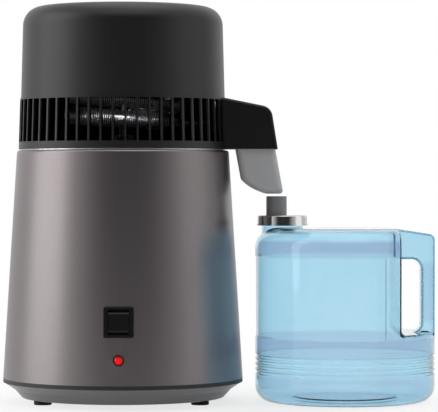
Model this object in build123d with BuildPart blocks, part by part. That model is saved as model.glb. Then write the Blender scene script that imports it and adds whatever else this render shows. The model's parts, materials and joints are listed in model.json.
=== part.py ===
"""Countertop water distiller: a tapered boiler, a fan-cooled condenser head with a spout, and a jug under it.

Millimetres, +Z up. The origin is on the worktop, in the middle of the box round the boiler and the jug.
The front faces -Y and the spout points along +X.
"""

import math
import os

from build123d import *

os.makedirs("parts", exist_ok=True)

# Fits shared by all the pieces
cut_overrun = 2.0
slip_gap = 0.2
slide_gap = 0.3
shaft_gap = 0.05

# Screws
screw_radius = 1.5
screw_head_radius = 3.0
screw_head_height = 1.6
screw_bite = 5.0

# Feet
foot_count = 3
foot_radius = 8.0
foot_height = 4.0
foot_edge_radius = 0.8
foot_edge_margin = 2.4
foot_recess_depth = 2.2

# Base pan and the dark trim between it and the case
pan_height = 14.2
pan_wall = 1.6
pan_rim_inset = 0.4
pan_waist_inset = 10.3
pan_waist_height = 7.7
pan_floor_inset = 17.2
pan_edge_radius = 2.5
pan_vent_count = 8
pan_vent_length = 22.0
pan_vent_width = 4.0
pan_vent_circle = 32.0
trim_height = 3.6
trim_width = 6.0
trim_lip_height = 4.0
trim_lip_wall = 1.6

# Case
case_base_radius = 108.6
case_top_radius = 96.0
case_height = 205.6
case_wall = 0.9
case_roll_radius = 2.6
case_shelf_width = 8.0

# Boiling chamber, hung by its flange from the case
chamber_wall = 0.8
chamber_gap = 5.0
chamber_corner_radius = 14.0
chamber_flange_lap = 4.5
heater_bay = 40.0

# Heater
heater_thickness = 4.0
heater_gap = 2.5
element_radius = 3.5
element_inset = 12.0
element_leg_length = 14.0
element_sweep_angle = 310.0
pillar_radius = 4.5
pillar_margin = 1.0
thermostat_spacing_share = 0.915
thermostat_flange_length = 31.0
thermostat_flange_width = 12.0
thermostat_flange_thickness = 1.0
thermostat_radius = 7.5
thermostat_depth = 8.0
thermostat_screw_gap = 23.0
heater_bite = 3.0
terminal_width = 6.3
terminal_thickness = 0.8
terminal_length = 4.0
terminal_spacing = 10.0

# Switch
switch_rise = 55.2
bezel_width = 26.8
bezel_height = 27.2
bezel_corner_radius = 2.0
bezel_edge_radius = 0.8
bezel_proud = 2.2
opening_width = 18.8
opening_height = 21.7
collar_wall = 1.3
collar_depth = 9.0
housing_depth = 7.8
housing_clearance = 1.4
button_proud = 1.0
button_depth = 5.5
button_slope_height = 3.3
button_slope_depth = 1.6
button_travel = 2.5
stem_radius = 2.4
spring_radius = 4.2
spring_wire_radius = 0.3
spring_quarter_count = 12

# Lamp
lamp_rise = 22.2
lamp_radius = 4.3
lamp_crown = 0.8
lamp_rim = 0.8
lamp_proud = 0.5
lamp_depth = 7.0

# Inlets at the back: the mains inlet in the case, the fan inlet in the head
mains_rise = 27.0
mains_width = 30.0
mains_height = 24.0
mains_socket_width = 23.0
mains_socket_height = 15.0
mains_socket_depth = 14.0
mains_pin_spacing = 14.0
mains_pin_offset = 2.0
fan_inlet_rise = 20.0
fan_inlet_width = 24.0
fan_inlet_height = 18.0
fan_inlet_socket_width = 17.0
fan_inlet_socket_height = 10.0
fan_inlet_socket_depth = 12.0
fan_inlet_pin_spacing = 8.0
inlet_proud = 0.8
inlet_wall = 2.0
pin_width = 4.0
pin_thickness = 2.0
pin_tip_inset = 5.0

# Gland of the lead that runs from the case to the head
gland_drop = 34.0
gland_radius = 8.0
gland_barrel_radius = 5.8
gland_bore_radius = 3.4
gland_proud = 3.0
gland_depth = 7.0

# Lid of the boiling chamber, carried by the head
gasket_thickness = 2.4
gasket_margin = 0.8
lid_wall = 0.8
lid_rise = 4.0
lid_centre_radius = 14.0

# Vent ring
ring_step = 1.4
ring_taper = 1.5
rim_gap = 1.1
rim_height = 6.5
rim_wall = 2.6
ledge_screw_inset = 3.6
ledge_screw_gap = 0.4
ledge_screw_count = 3
slat_count = 54
slat_height = 39.5
slat_width = 1.8
slat_depth = 5.0
crown_plate_thickness = 1.6
crown_plate_width = 14.0
crown_spigot_height = 5.0
crown_spigot_wall = 1.8
baffle_wall = 1.2
baffle_lap = 2.0
baffle_start_angle = 20.0
baffle_sweep_angle = 160.0

# Top cover
cover_height = 85.5
cover_step = 0.75
cover_taper = 2.25
cover_wall = 2.2
cover_shoulder_radius = 17.0
cover_crown_rise = 4.0
cover_vent_count = 24
cover_vent_length = 24.0
cover_vent_width = 3.6
cover_vent_circle = 34.0
cover_post_radius = 3.6
cover_post_height = 18.0
cover_post_count = 3
cover_rib_thickness = 2.4

# Condenser coil, from the steam port in the lid up, round and out to the spout
tube_radius = 4.75
tube_wall = 0.8
coil_radius = 46.0
coil_pitch = 16.5
coil_quarter_count = 10
coil_rise = 22.0
coil_bend_radius = 13.0
coil_drop = 18.0
port_nut_radius = 10.0
port_nut_height = 6.0

# Fan and its motor
fan_radius = 62.0
fan_blade_count = 5
fan_blade_thickness = 1.6
fan_blade_root_chord = 20.0
fan_blade_tip_chord = 30.0
fan_blade_root_angle = 38.0
fan_blade_tip_angle = 24.0
fan_hub_radius = 12.0
fan_hub_height = 13.0
fan_clearance = 5.0
fan_nut_radius = 4.5
fan_nut_height = 2.8
fan_shaft_radius = 2.5
fan_shaft_grip = 12.0
motor_radius = 21.0
motor_height = 18.0
motor_boss_radius = 7.0
motor_boss_height = 2.5
motor_plate_thickness = 1.5
motor_plate_radius = 25.0
motor_arm_width = 13.0
motor_arm_length = 60.0
motor_screw_circle_radius = 14.0
motor_post_radius = 4.0
motor_post_count = 3

# Spout hood and nozzle
hood_width = 46.0
hood_wall = 2.0
hood_fall_angle = 11.5
hood_rake_angle = 9.0
hood_nose_radius = 11.0
hood_edge_radius = 3.0
hood_root = 9.0
hood_tab_thickness = 2.5
hood_tab_width = 8.5
hood_tab_margin = 1.5
hood_tab_length = 14.0
hood_tab_screw_inset = 4.0
nozzle_width = 39.0
nozzle_height = 40.3
nozzle_setback = 7.3
nozzle_lean_angle = 10.4
nozzle_engagement = 7.0
nozzle_wall = 1.8
nozzle_edge_radius = 6.0
nozzle_heel_radius = 6.0
nozzle_toe_radius = 3.0
nozzle_heel_share = 0.68
nozzle_belly_share = 0.07
outlet_width = 15.6
outlet_margin = 6.0
outlet_radius = 4.0
sachet_thickness = 9.0
sachet_edge_thickness = 1.2
sachet_rise_share = 0.42

# Jug
jug_radius = 81.4
jug_gap = 11.4
jug_wall = 1.8
jug_base_radius = 15.0
jug_shoulder_radius = 18.0
jug_punt_radius = 46.0
jug_punt_depth = 2.5
rib_count = 4
rib_rise = 25.4
rib_pitch = 4.8
rib_width = 3.4
rib_depth = 1.1
panel_rise = 59.0
panel_height = 73.0
panel_depth = 0.8
panel_start_angle = 66.0
panel_sweep_angle = 228.0
pocket_depth = 34.4
pocket_floor_share = 0.4
pocket_edge_radius = 5.0
handle_width = 27.0
handle_edge_radius = 3.2
handle_drop = 6.0
handle_corner_radius = 5.5
grip_thickness = 12.7
finger_gap_top = 28.0
finger_gap_corner_radius = 9.0
neck_inset = 24.6
neck_radius = 18.5
neck_gap = 2.4

# Cap of the jug and the spigot that takes the drips
drip_gap = 2.3
cap_radius = 22.6
cap_height = 9.0
cap_wall = 1.5
cap_clearance = 0.8
cap_lip_width = 0.6
cap_lip_height = 1.2
cap_edge_radius = 0.8
seal_thickness = 1.5
spigot_offset = 5.3
spigot_height = 17.5
spigot_radius = 9.3
spigot_wall = 2.0
spigot_collar_width = 1.6

# Heights, from the worktop up
pan_z = foot_height
pan_floor_z = pan_z + pan_wall
pan_top_z = pan_z + pan_height
case_z = pan_top_z + trim_height
case_top_z = case_z + case_height
chamber_z = pan_floor_z + heater_bay
heater_z = chamber_z - heater_thickness
flange_z = case_top_z + chamber_wall
gasket_z = flange_z + gasket_thickness
lid_top_z = gasket_z + lid_wall
rim_z = case_top_z + rim_gap
rim_top_z = rim_z + rim_height
slat_top_z = rim_top_z + slat_height
cover_top_z = slat_top_z + cover_height
switch_z = case_z + switch_rise
lamp_z = case_z + lamp_rise
mains_z = case_z + mains_rise
gland_z = case_top_z - gland_drop
fan_inlet_z = slat_top_z + fan_inlet_rise
nozzle_z = rim_z - nozzle_height
spigot_top_z = nozzle_z - drip_gap
cap_top_z = spigot_top_z - spigot_height
cap_z = cap_top_z - cap_height
neck_top_z = cap_top_z - cap_wall - seal_thickness
jug_top_z = cap_z - neck_gap
pocket_floor_z = jug_top_z * pocket_floor_share
finger_gap_top_z = jug_top_z - finger_gap_top
coil_low_z = lid_top_z + coil_rise
coil_high_z = coil_low_z + coil_pitch * coil_quarter_count / 4
fan_z = coil_high_z + tube_radius + fan_clearance
motor_z = fan_z + fan_hub_height + fan_clearance
motor_top_z = motor_z + motor_height
motor_plate_top_z = motor_top_z + motor_plate_thickness

# Radii round the boiler's axis
case_slope = (case_base_radius - case_top_radius) / case_height
case_lean = math.atan(case_slope)
shelf_radius = case_top_radius - case_shelf_width
switch_depth = collar_depth + housing_depth + terminal_length + housing_clearance
switch_wall_radius = case_base_radius - switch_rise * case_slope
chamber_outer_radius = min(shelf_radius - chamber_gap, switch_wall_radius - switch_depth)
chamber_radius = chamber_outer_radius - chamber_wall
flange_radius = shelf_radius + chamber_flange_lap
chamber_flat_radius = chamber_outer_radius - chamber_corner_radius - chamber_wall
pillar_circle = chamber_flat_radius - pillar_radius - pillar_margin
heater_radius = pillar_circle - pillar_radius - heater_gap
element_circle = heater_radius - element_inset
pan_floor_radius = case_base_radius - pan_floor_inset
foot_circle = pan_floor_radius - foot_radius - foot_edge_margin
ring_base_radius = case_top_radius - ring_step
ring_top_radius = ring_base_radius - ring_taper
lid_radius = ring_base_radius - rim_wall - slip_gap
ledge_screw_circle = chamber_radius + gasket_margin - screw_head_radius - ledge_screw_gap
ledge_radius = ledge_screw_circle - ledge_screw_inset
cover_base_radius = ring_top_radius - cover_step
cover_top_radius = cover_base_radius - cover_taper
crown_spigot_radius = cover_base_radius - cover_wall - slip_gap
cover_post_circle = crown_spigot_radius - crown_spigot_wall - slip_gap - cover_post_radius

# Places along the row, from the boiler's axis towards the jug
jug_reach = case_base_radius + jug_gap + jug_radius
cap_reach = jug_reach - jug_radius + neck_inset
outlet_reach = cap_reach - spigot_offset
nozzle_slope = math.tan(math.radians(nozzle_lean_angle))
nozzle_end_low = outlet_reach + outlet_margin
nozzle_end_high = nozzle_end_low - nozzle_height * nozzle_slope
nozzle_root_high = ring_base_radius + nozzle_setback
hood_end = nozzle_end_high + slip_gap + hood_wall
unit_x = (case_base_radius - jug_reach - jug_radius) / 2
jug_x = unit_x + jug_reach
cap_x = unit_x + cap_reach
outlet_x = unit_x + outlet_reach

unit_axis = Axis((unit_x, 0, 0), (0, 0, 1))
jug_axis = Axis((jug_x, 0, 0), (0, 0, 1))
cap_axis = Axis((cap_x, 0, 0), (0, 0, 1))


def section_at(x, angle=0):
    """An upright plane through a place in the row, turned round it: its own x points out and its own y is height."""
    turn = math.radians(angle)
    return Plane((x, 0, 0), x_dir=(math.cos(turn), math.sin(turn), 0), z_dir=(math.sin(turn), -math.cos(turn), 0))


def level_at(x, z):
    """A level plane at height z over the given place in the row."""
    return Plane((x, 0, z))


def ring_plane(radius, angle, z, up=1):
    """A level plane on a circle round the boiler's axis, looking up or down, with its own x pointing outwards."""
    turn = math.radians(angle)
    out = (math.cos(turn), math.sin(turn), 0)
    return Plane((unit_x + radius * out[0], radius * out[1], z), x_dir=out, z_dir=(0, 0, up))


def ring_angles(count, start):
    """Even angles all round, in degrees."""
    return [start + 360 * step / count for step in range(count)]


def case_radius(z):
    """Outside radius of the case at height z."""
    return case_base_radius - (z - case_z) * case_slope


def wall_plane(radius, lean, z, facing):
    """A plane on a leaning round wall at height z, looking out: facing is -1 at the front and 1 at the back."""
    out = (0, facing * math.cos(lean), math.sin(lean))
    return Plane((unit_x, facing * radius, z), x_dir=(-facing, 0, 0), z_dir=out)


def ring_radius(z):
    """Outside radius of the vent ring at height z."""
    return ring_base_radius - ring_taper * (z - rim_z) / (slat_top_z - rim_z)


def sag(width, radius):
    """How far a round wall falls away from its tangent over a width."""
    return width * width / (8 * radius)


def screw_set(planes, length):
    """Pan-head screws: each head stands on its plane and the shank goes back from it."""
    with BuildPart() as screws:
        for plane in planes:
            with BuildSketch(plane):
                Circle(screw_radius)
            extrude(amount=-length)
            with BuildSketch(plane):
                Circle(screw_head_radius)
            extrude(amount=screw_head_height)
    return screws


def biarc(start, start_way, end, end_way):
    """Two arcs from start to end that leave and arrive along the given ways."""
    span = end - start
    turn = 1 - start_way.dot(end_way)
    along = span.dot(start_way + end_way)
    arm = (math.sqrt(along * along + 2 * turn * span.dot(span)) - along) / (2 * turn)
    start_arm = start + start_way * arm
    end_arm = end - end_way * arm
    middle = (start_arm + end_arm) * 0.5
    TangentArc(start, middle, tangent=start_way)
    TangentArc(middle, end, tangent=end_arm - start_arm)


def winding(plane, radius, rise, quarter_count, start_angle):
    """Points and ways of a coil round a plane's own z, one for each quarter turn, level at both ends."""
    steps = []
    for step in range(quarter_count + 1):
        turn = math.radians(start_angle + 90 * step)
        slope = 0 if step in (0, quarter_count) else rise / (quarter_count * radius * math.pi / 2)
        out = plane.x_dir * math.cos(turn) + plane.y_dir * math.sin(turn)
        way = plane.y_dir * math.cos(turn) - plane.x_dir * math.sin(turn) + plane.z_dir * slope
        point = plane.origin + out * radius + plane.z_dir * (rise * step / quarter_count)
        steps.append((point, way.normalized()))
    return steps


def least_gap(path, wire_radius):
    """Least gap between two places on a wound wire that lie well apart along it."""
    count = 400
    points = [path.position_at(step / count) for step in range(count + 1)]
    apart = math.ceil(8 * wire_radius * count / path.length)
    spans = [(points[a] - points[b]).length for a in range(count + 1) for b in range(a + apart, count + 1)]
    return min(spans) - 2 * wire_radius


# The outside of the case, the vent ring and the cover as closed bodies, to shape what seats on them
with BuildPart() as case_body:
    with BuildSketch(section_at(unit_x)):
        with BuildLine():
            Polyline(
                (0, case_z),
                (case_base_radius, case_z),
                (case_top_radius, case_top_z),
                (0, case_top_z),
                close=True,
            )
        make_face()
    revolve(axis=unit_axis)

with BuildPart() as ring_body:
    with BuildSketch(section_at(unit_x)):
        with BuildLine():
            Polyline(
                (0, rim_z - cut_overrun),
                (ring_base_radius, rim_z - cut_overrun),
                (ring_base_radius, rim_z),
                (ring_top_radius, slat_top_z),
                (ring_top_radius, cover_top_z),
                (0, cover_top_z),
                close=True,
            )
        make_face()
    revolve(axis=unit_axis)

# Case
switch_plane = wall_plane(case_radius(switch_z), case_lean, switch_z, -1)
lamp_plane = wall_plane(case_radius(lamp_z), case_lean, lamp_z, -1)
mains_plane = wall_plane(case_radius(mains_z), case_lean, mains_z, 1)
gland_plane = wall_plane(case_radius(gland_z), case_lean, gland_z, 1)
collar_width = opening_width + 2 * collar_wall
collar_height = opening_height + 2 * collar_wall
mains_body_width = mains_socket_width + 2 * inlet_wall
mains_body_height = mains_socket_height + 2 * inlet_wall
inside_corner_radius = case_radius(case_top_z - case_wall) - case_wall

with BuildPart() as outer_case:
    with BuildSketch(section_at(unit_x)) as case_profile:
        with BuildLine():
            Polyline(
                (case_base_radius, case_z),
                (case_top_radius, case_top_z),
                (shelf_radius, case_top_z),
                (shelf_radius, case_top_z - case_wall),
                (inside_corner_radius, case_top_z - case_wall),
                (case_base_radius - case_wall, case_z),
                close=True,
            )
        make_face()
        fillet(case_profile.vertices().group_by(Axis.Y)[-1].sort_by(Axis.X)[-1], case_roll_radius)
        fillet(case_profile.vertices().group_by(Axis.Y)[-2].sort_by(Axis.X)[-1], case_roll_radius - case_wall)
    revolve(axis=unit_axis)
    with BuildSketch(switch_plane):
        Rectangle(collar_width + 2 * slip_gap, collar_height + 2 * slip_gap)
    with BuildSketch(lamp_plane):
        Circle(lamp_radius + slip_gap)
    with BuildSketch(mains_plane):
        Rectangle(mains_body_width + 2 * slip_gap, mains_body_height + 2 * slip_gap)
    with BuildSketch(gland_plane):
        Circle(gland_barrel_radius + slip_gap)
    extrude(amount=case_wall + cut_overrun, both=True, mode=Mode.SUBTRACT)

# Dark trim under the case, with a lip that stands inside it
trim_lip_radius = case_radius(case_z + trim_lip_height) - case_wall - slip_gap

with BuildPart() as base_trim:
    with BuildSketch(section_at(unit_x)):
        with BuildLine():
            Polyline(
                (case_base_radius - trim_width, pan_top_z),
                (case_base_radius, pan_top_z),
                (case_base_radius, case_z),
                (trim_lip_radius, case_z),
                (trim_lip_radius, case_z + trim_lip_height),
                (trim_lip_radius - trim_lip_wall, case_z + trim_lip_height),
                (trim_lip_radius - trim_lip_wall, case_z),
                (case_base_radius - trim_width, case_z),
                close=True,
            )
        make_face()
    revolve(axis=unit_axis)

# Base pan
pillar_angles = ring_angles(foot_count, 30)
foot_angles = ring_angles(foot_count, 90)

with BuildPart() as base_pan:
    with BuildSketch(section_at(unit_x)) as pan_profile:
        with BuildLine():
            Polyline(
                (0, pan_z),
                (pan_floor_radius, pan_z),
                (case_base_radius - pan_waist_inset, pan_z + pan_waist_height),
                (case_base_radius - pan_rim_inset, pan_top_z),
                (0, pan_top_z),
                close=True,
            )
        make_face()
        fillet(pan_profile.vertices().group_by(Axis.Y)[0].sort_by(Axis.X)[-1], pan_edge_radius)
    revolve(axis=unit_axis)
    offset(amount=-pan_wall, openings=base_pan.faces().sort_by(Axis.Z)[-1])
    for angle in pillar_angles:
        with BuildSketch(ring_plane(pillar_circle, angle, pan_floor_z)):
            Circle(screw_radius + slip_gap)
    for angle in foot_angles:
        with BuildSketch(ring_plane(foot_circle, angle, pan_floor_z)):
            Circle(screw_radius + slip_gap)
    for angle in ring_angles(pan_vent_count, 0):
        with BuildSketch(ring_plane(pan_vent_circle, angle, pan_floor_z)):
            SlotOverall(pan_vent_length, pan_vent_width)
    extrude(amount=pan_wall + cut_overrun, both=True, mode=Mode.SUBTRACT)


def foot(angle):
    """A round rubber foot with its screw recess below."""
    plane = ring_plane(foot_circle, angle, 0)
    with BuildPart() as piece:
        with BuildSketch(plane):
            Circle(foot_radius)
        extrude(amount=foot_height)
        fillet(piece.edges().group_by(Axis.Z)[0], foot_edge_radius)
        with BuildSketch(plane):
            Circle(screw_head_radius + slip_gap)
        extrude(amount=foot_recess_depth, mode=Mode.SUBTRACT)
        with BuildSketch(plane):
            Circle(screw_radius + slip_gap)
        extrude(amount=foot_height, mode=Mode.SUBTRACT)
    return piece


foot_rear, foot_front_left, foot_front_right = [foot(angle) for angle in foot_angles]
foot_screws = screw_set(
    [ring_plane(foot_circle, angle, foot_recess_depth, -1) for angle in foot_angles],
    foot_height - foot_recess_depth + pan_wall + screw_bite,
)

# Pillars that tie the chamber, the case and the base pan together
with BuildPart() as tie_pillars:
    for angle in pillar_angles:
        with BuildSketch(ring_plane(pillar_circle, angle, pan_floor_z)):
            RegularPolygon(pillar_radius, 6)
    extrude(amount=heater_bay)
    for angle in pillar_angles:
        with BuildSketch(ring_plane(pillar_circle, angle, pan_floor_z)):
            Circle(screw_radius + slip_gap)
    extrude(amount=screw_bite + cut_overrun, mode=Mode.SUBTRACT)

pan_screws = screw_set(
    [ring_plane(pillar_circle, angle, pan_z, -1) for angle in pillar_angles],
    pan_wall + screw_bite,
)

# Boiling chamber
with BuildPart() as boiling_chamber:
    with BuildSketch(section_at(unit_x)) as chamber_profile:
        with BuildLine():
            Polyline(
                (0, chamber_z),
                (chamber_outer_radius, chamber_z),
                (chamber_outer_radius, case_top_z),
                (flange_radius, case_top_z),
                (flange_radius, flange_z),
                (chamber_radius, flange_z),
                (chamber_radius, chamber_z + chamber_wall),
                (0, chamber_z + chamber_wall),
                close=True,
            )
        make_face()
        fillet(
            chamber_profile.vertices().group_by(Axis.Y)[0].sort_by(Axis.X)[-1],
            chamber_corner_radius + chamber_wall,
        )
        fillet(chamber_profile.vertices().group_by(Axis.Y)[1].sort_by(Axis.X)[-1], chamber_corner_radius)
    revolve(axis=unit_axis)

# Heater under the chamber
thermostat_reach = element_circle * thermostat_spacing_share / 2
thermostat_places = [unit_x - thermostat_reach, unit_x + thermostat_reach]

with BuildPart() as heater_plate:
    with BuildSketch(level_at(unit_x, heater_z)):
        Circle(heater_radius)
    extrude(amount=heater_thickness)
    for place in thermostat_places:
        with BuildSketch(level_at(place, heater_z)):
            with GridLocations(0, thermostat_screw_gap, 1, 2):
                Circle(screw_radius + slip_gap)
    extrude(amount=heater_bite + slip_gap, mode=Mode.SUBTRACT)

element_z = heater_z - element_radius
element_start_angle = (360 - element_sweep_angle) / 2 - 90
element_ends = [ring_plane(element_circle, element_start_angle + turn, element_z, -1) for turn in (0, element_sweep_angle)]

with BuildPart() as heater_element:
    with BuildSketch(section_at(unit_x, element_start_angle)):
        with Locations((element_circle, element_z)):
            Circle(element_radius)
    revolve(axis=unit_axis, revolution_arc=element_sweep_angle)
    for plane in element_ends:
        with BuildSketch(plane):
            Circle(element_radius)
    extrude(amount=element_leg_length)
    for plane in element_ends:
        with BuildSketch(plane.offset(element_leg_length)):
            Rectangle(terminal_thickness, terminal_width)
    extrude(amount=terminal_length)


def thermostat(place):
    """A disc thermostat with a two-hole flange and two blade terminals, against the heater plate's underside."""
    plane = Plane((place, 0, heater_z), x_dir=(0, 1, 0), z_dir=(0, 0, -1))
    with BuildPart() as piece:
        with BuildSketch(plane):
            SlotOverall(thermostat_flange_length, thermostat_flange_width)
            with GridLocations(thermostat_screw_gap, 0, 2, 1):
                Circle(screw_radius + slip_gap, mode=Mode.SUBTRACT)
        extrude(amount=thermostat_flange_thickness)
        with BuildSketch(plane):
            Circle(thermostat_radius)
        extrude(amount=thermostat_depth)
        with BuildSketch(plane.offset(thermostat_depth)):
            with GridLocations(terminal_spacing, 0, 2, 1):
                Rectangle(terminal_thickness, terminal_width)
        extrude(amount=terminal_length)
    return piece


thermostat_control, thermal_cutout = [thermostat(place) for place in thermostat_places]
thermostat_screws = screw_set(
    [
        Plane((place, side * thermostat_screw_gap / 2, heater_z - thermostat_flange_thickness), z_dir=(0, 0, -1))
        for place in thermostat_places
        for side in (-1, 1)
    ],
    thermostat_flange_thickness + heater_bite,
)

# Switch in the front of the case
housing_plane = switch_plane.offset(-collar_depth)
button_back = button_proud - button_depth
button_height = opening_height - 2 * slide_gap
switch_side = Plane(switch_plane.origin, x_dir=switch_plane.z_dir, z_dir=(1, 0, 0))

with BuildPart() as switch_bezel:
    with BuildSketch(switch_plane.offset(-sag(bezel_width, case_top_radius))):
        RectangleRounded(bezel_width, bezel_height, bezel_corner_radius)
    extrude(amount=sag(bezel_width, case_top_radius) + bezel_proud)
    fillet(switch_bezel.faces().sort_by(Axis(switch_plane.origin, switch_plane.z_dir))[-1].edges(), bezel_edge_radius)
    add(case_body.part, mode=Mode.SUBTRACT)
    with BuildSketch(housing_plane):
        Rectangle(collar_width, collar_height)
    extrude(amount=collar_depth + bezel_proud / 2)
    with BuildSketch(housing_plane):
        Rectangle(opening_width, opening_height)
    extrude(amount=collar_depth + bezel_proud, mode=Mode.SUBTRACT)

with BuildPart() as switch_housing:
    with BuildSketch(housing_plane):
        Rectangle(collar_width, collar_height)
    extrude(amount=-housing_depth)
    with BuildSketch(housing_plane):
        Circle(stem_radius + slide_gap)
    extrude(amount=-housing_depth + case_wall, mode=Mode.SUBTRACT)

with BuildPart() as switch_terminals:
    with BuildSketch(housing_plane.offset(-housing_depth)):
        with GridLocations(terminal_spacing, 0, 2, 1):
            Rectangle(terminal_thickness, terminal_width)
    extrude(amount=-terminal_length)

with BuildPart() as push_button:
    with BuildSketch(switch_side):
        with BuildLine():
            Polyline(
                (button_back, -button_height / 2),
                (button_back, button_height / 2),
                (button_proud - button_slope_depth, button_height / 2),
                (button_proud, button_height / 2 - button_slope_height),
                (button_proud, button_slope_height - button_height / 2),
                (button_proud - button_slope_depth, -button_height / 2),
                close=True,
            )
        make_face()
    extrude(amount=opening_width / 2 - slide_gap, both=True)
    with BuildSketch(switch_plane.offset(button_back)):
        Circle(stem_radius)
    extrude(amount=-(collar_depth + button_back + button_travel))

# The spring is seated on the housing and under the button, clear by its wire's radius
spring_room = collar_depth + button_back
spring_plane = housing_plane.offset(spring_wire_radius + shaft_gap)
spring_rise = spring_room - 2 * (spring_wire_radius + shaft_gap)

with BuildPart() as switch_spring:
    steps = winding(spring_plane, spring_radius, spring_rise, spring_quarter_count, 0)
    with BuildLine() as spring_path:
        for (start, start_way), (end, end_way) in zip(steps, steps[1:]):
            biarc(start, start_way, end, end_way)
    with BuildSketch(Plane(steps[0][0], z_dir=steps[0][1])):
        Circle(spring_wire_radius)
    sweep(path=spring_path.line)

print("switch spring, least gap between turns:", round(least_gap(Wire(spring_path.edges()), spring_wire_radius), 2))

# Lamp under the switch
with BuildPart() as lamp_holder:
    with BuildSketch(lamp_plane.offset(-sag(2 * lamp_radius + 2 * lamp_rim, case_top_radius))):
        Circle(lamp_radius + lamp_rim)
    extrude(amount=sag(2 * lamp_radius + 2 * lamp_rim, case_top_radius) + lamp_proud)
    add(case_body.part, mode=Mode.SUBTRACT)
    with BuildSketch(lamp_plane.offset(lamp_proud)):
        Circle(lamp_radius)
    extrude(amount=-lamp_depth)
    with BuildSketch(lamp_plane.offset(lamp_proud)):
        Circle(lamp_radius - lamp_rim)
    extrude(amount=-lamp_depth + lamp_rim, mode=Mode.SUBTRACT)

lamp_side = Plane(lamp_plane.origin, x_dir=(1, 0, 0), z_dir=lamp_plane.y_dir)
lens_radius = lamp_radius - lamp_rim - shaft_gap
lens_back = lamp_proud - lamp_depth + lamp_rim

with BuildPart() as lamp_lens:
    with BuildSketch(lamp_plane.offset(lens_back)):
        Circle(lens_radius)
    extrude(amount=lamp_proud - lens_back)
    with BuildSketch(lamp_plane.offset(lamp_proud)):
        Circle(lens_radius)
    extrude(amount=lamp_crown, taper=45)


def inlet(plane, seat, flange, socket, pin_places):
    """A flanged power inlet on a round wall: its socket opens outwards and its pins stand through the back of it."""
    sink = sag(flange[0], case_top_radius)
    socket_width, socket_height, socket_depth = socket
    with BuildPart() as piece:
        with BuildSketch(plane.offset(-sink)):
            RectangleRounded(*flange, inlet_wall)
        extrude(amount=sink + inlet_proud)
        add(seat, mode=Mode.SUBTRACT)
        with BuildSketch(plane.offset(-socket_depth - inlet_wall)):
            Rectangle(socket_width + 2 * inlet_wall, socket_height + 2 * inlet_wall)
        extrude(amount=socket_depth + inlet_wall + inlet_proud / 2)
        with BuildSketch(plane.offset(inlet_proud)):
            RectangleRounded(socket_width, socket_height, inlet_wall)
        extrude(amount=-socket_depth - inlet_proud, mode=Mode.SUBTRACT)
        with BuildSketch(plane.offset(-socket_depth)):
            with Locations(*pin_places):
                Rectangle(pin_thickness + 2 * slip_gap, pin_width + 2 * slip_gap)
        extrude(amount=-inlet_wall, mode=Mode.SUBTRACT)
    with BuildPart() as pins:
        with BuildSketch(plane.offset(-pin_tip_inset)):
            with Locations(*pin_places):
                Rectangle(pin_thickness, pin_width)
        extrude(amount=pin_tip_inset - socket_depth - inlet_wall - terminal_length)
    return piece, pins


mains_inlet, mains_pins = inlet(
    mains_plane,
    case_body.part,
    (mains_width, mains_height),
    (mains_socket_width, mains_socket_height, mains_socket_depth),
    [
        (-mains_pin_spacing / 2, -mains_pin_offset),
        (0, mains_pin_offset),
        (mains_pin_spacing / 2, -mains_pin_offset),
    ],
)

# Gland of the head's lead
with BuildPart() as lead_gland:
    with BuildSketch(gland_plane.offset(-sag(2 * gland_radius, case_top_radius))):
        Circle(gland_radius)
    extrude(amount=sag(2 * gland_radius, case_top_radius) + gland_proud)
    add(case_body.part, mode=Mode.SUBTRACT)
    with BuildSketch(gland_plane.offset(-gland_depth)):
        Circle(gland_barrel_radius)
    extrude(amount=gland_depth + gland_proud / 2)
    with BuildSketch(gland_plane.offset(-gland_depth)):
        Circle(gland_bore_radius)
    extrude(amount=gland_depth + gland_proud, mode=Mode.SUBTRACT)

# Lid of the chamber and its gasket
port_radius = tube_radius + slip_gap
ledge_screw_angles = ring_angles(ledge_screw_count, 60)

with BuildPart() as lid_plate:
    with BuildSketch(section_at(unit_x)):
        with BuildLine():
            Polyline(
                (port_radius, gasket_z + lid_rise),
                (lid_centre_radius, gasket_z + lid_rise),
                (ledge_radius - slip_gap, gasket_z),
                (lid_radius, gasket_z),
                (lid_radius, lid_top_z),
                (ledge_radius - slip_gap, lid_top_z),
                (lid_centre_radius, lid_top_z + lid_rise),
                (port_radius, lid_top_z + lid_rise),
                close=True,
            )
        make_face()
    revolve(axis=unit_axis)
    for angle in ledge_screw_angles:
        with BuildSketch(ring_plane(ledge_screw_circle, angle, gasket_z)):
            Circle(screw_radius + slip_gap)
    extrude(amount=lid_wall, mode=Mode.SUBTRACT)

with BuildPart() as lid_gasket:
    with BuildSketch(level_at(unit_x, flange_z)):
        Circle(flange_radius - gasket_margin)
        Circle(chamber_radius + gasket_margin, mode=Mode.SUBTRACT)
    extrude(amount=gasket_thickness)

lid_screws = screw_set(
    [ring_plane(ledge_screw_circle, angle, gasket_z, -1) for angle in ledge_screw_angles],
    rim_top_z - gasket_z,
)

# Vent ring: a rim with a ledge for the lid, the slats, and a plate that carries the cover
slat_pitch = 360 / slat_count
window_angle = math.degrees(math.asin((hood_width / 2 - hood_wall) / ring_top_radius))
window_slats = int(window_angle / slat_pitch)
kept_slats = slat_count - 2 * window_slats - 1
crown_plate_z = slat_top_z - crown_plate_thickness
cover_post_angles = ring_angles(cover_post_count, 60)
tab_outer = hood_width / 2 - hood_wall - hood_tab_margin
tab_places = [side * (tab_outer - hood_tab_width / 2) for side in (-1, 1)]
tab_end = ring_base_radius + hood_tab_margin + hood_wall
tab_screw_reach = tab_end - hood_tab_length + hood_tab_screw_inset

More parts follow.
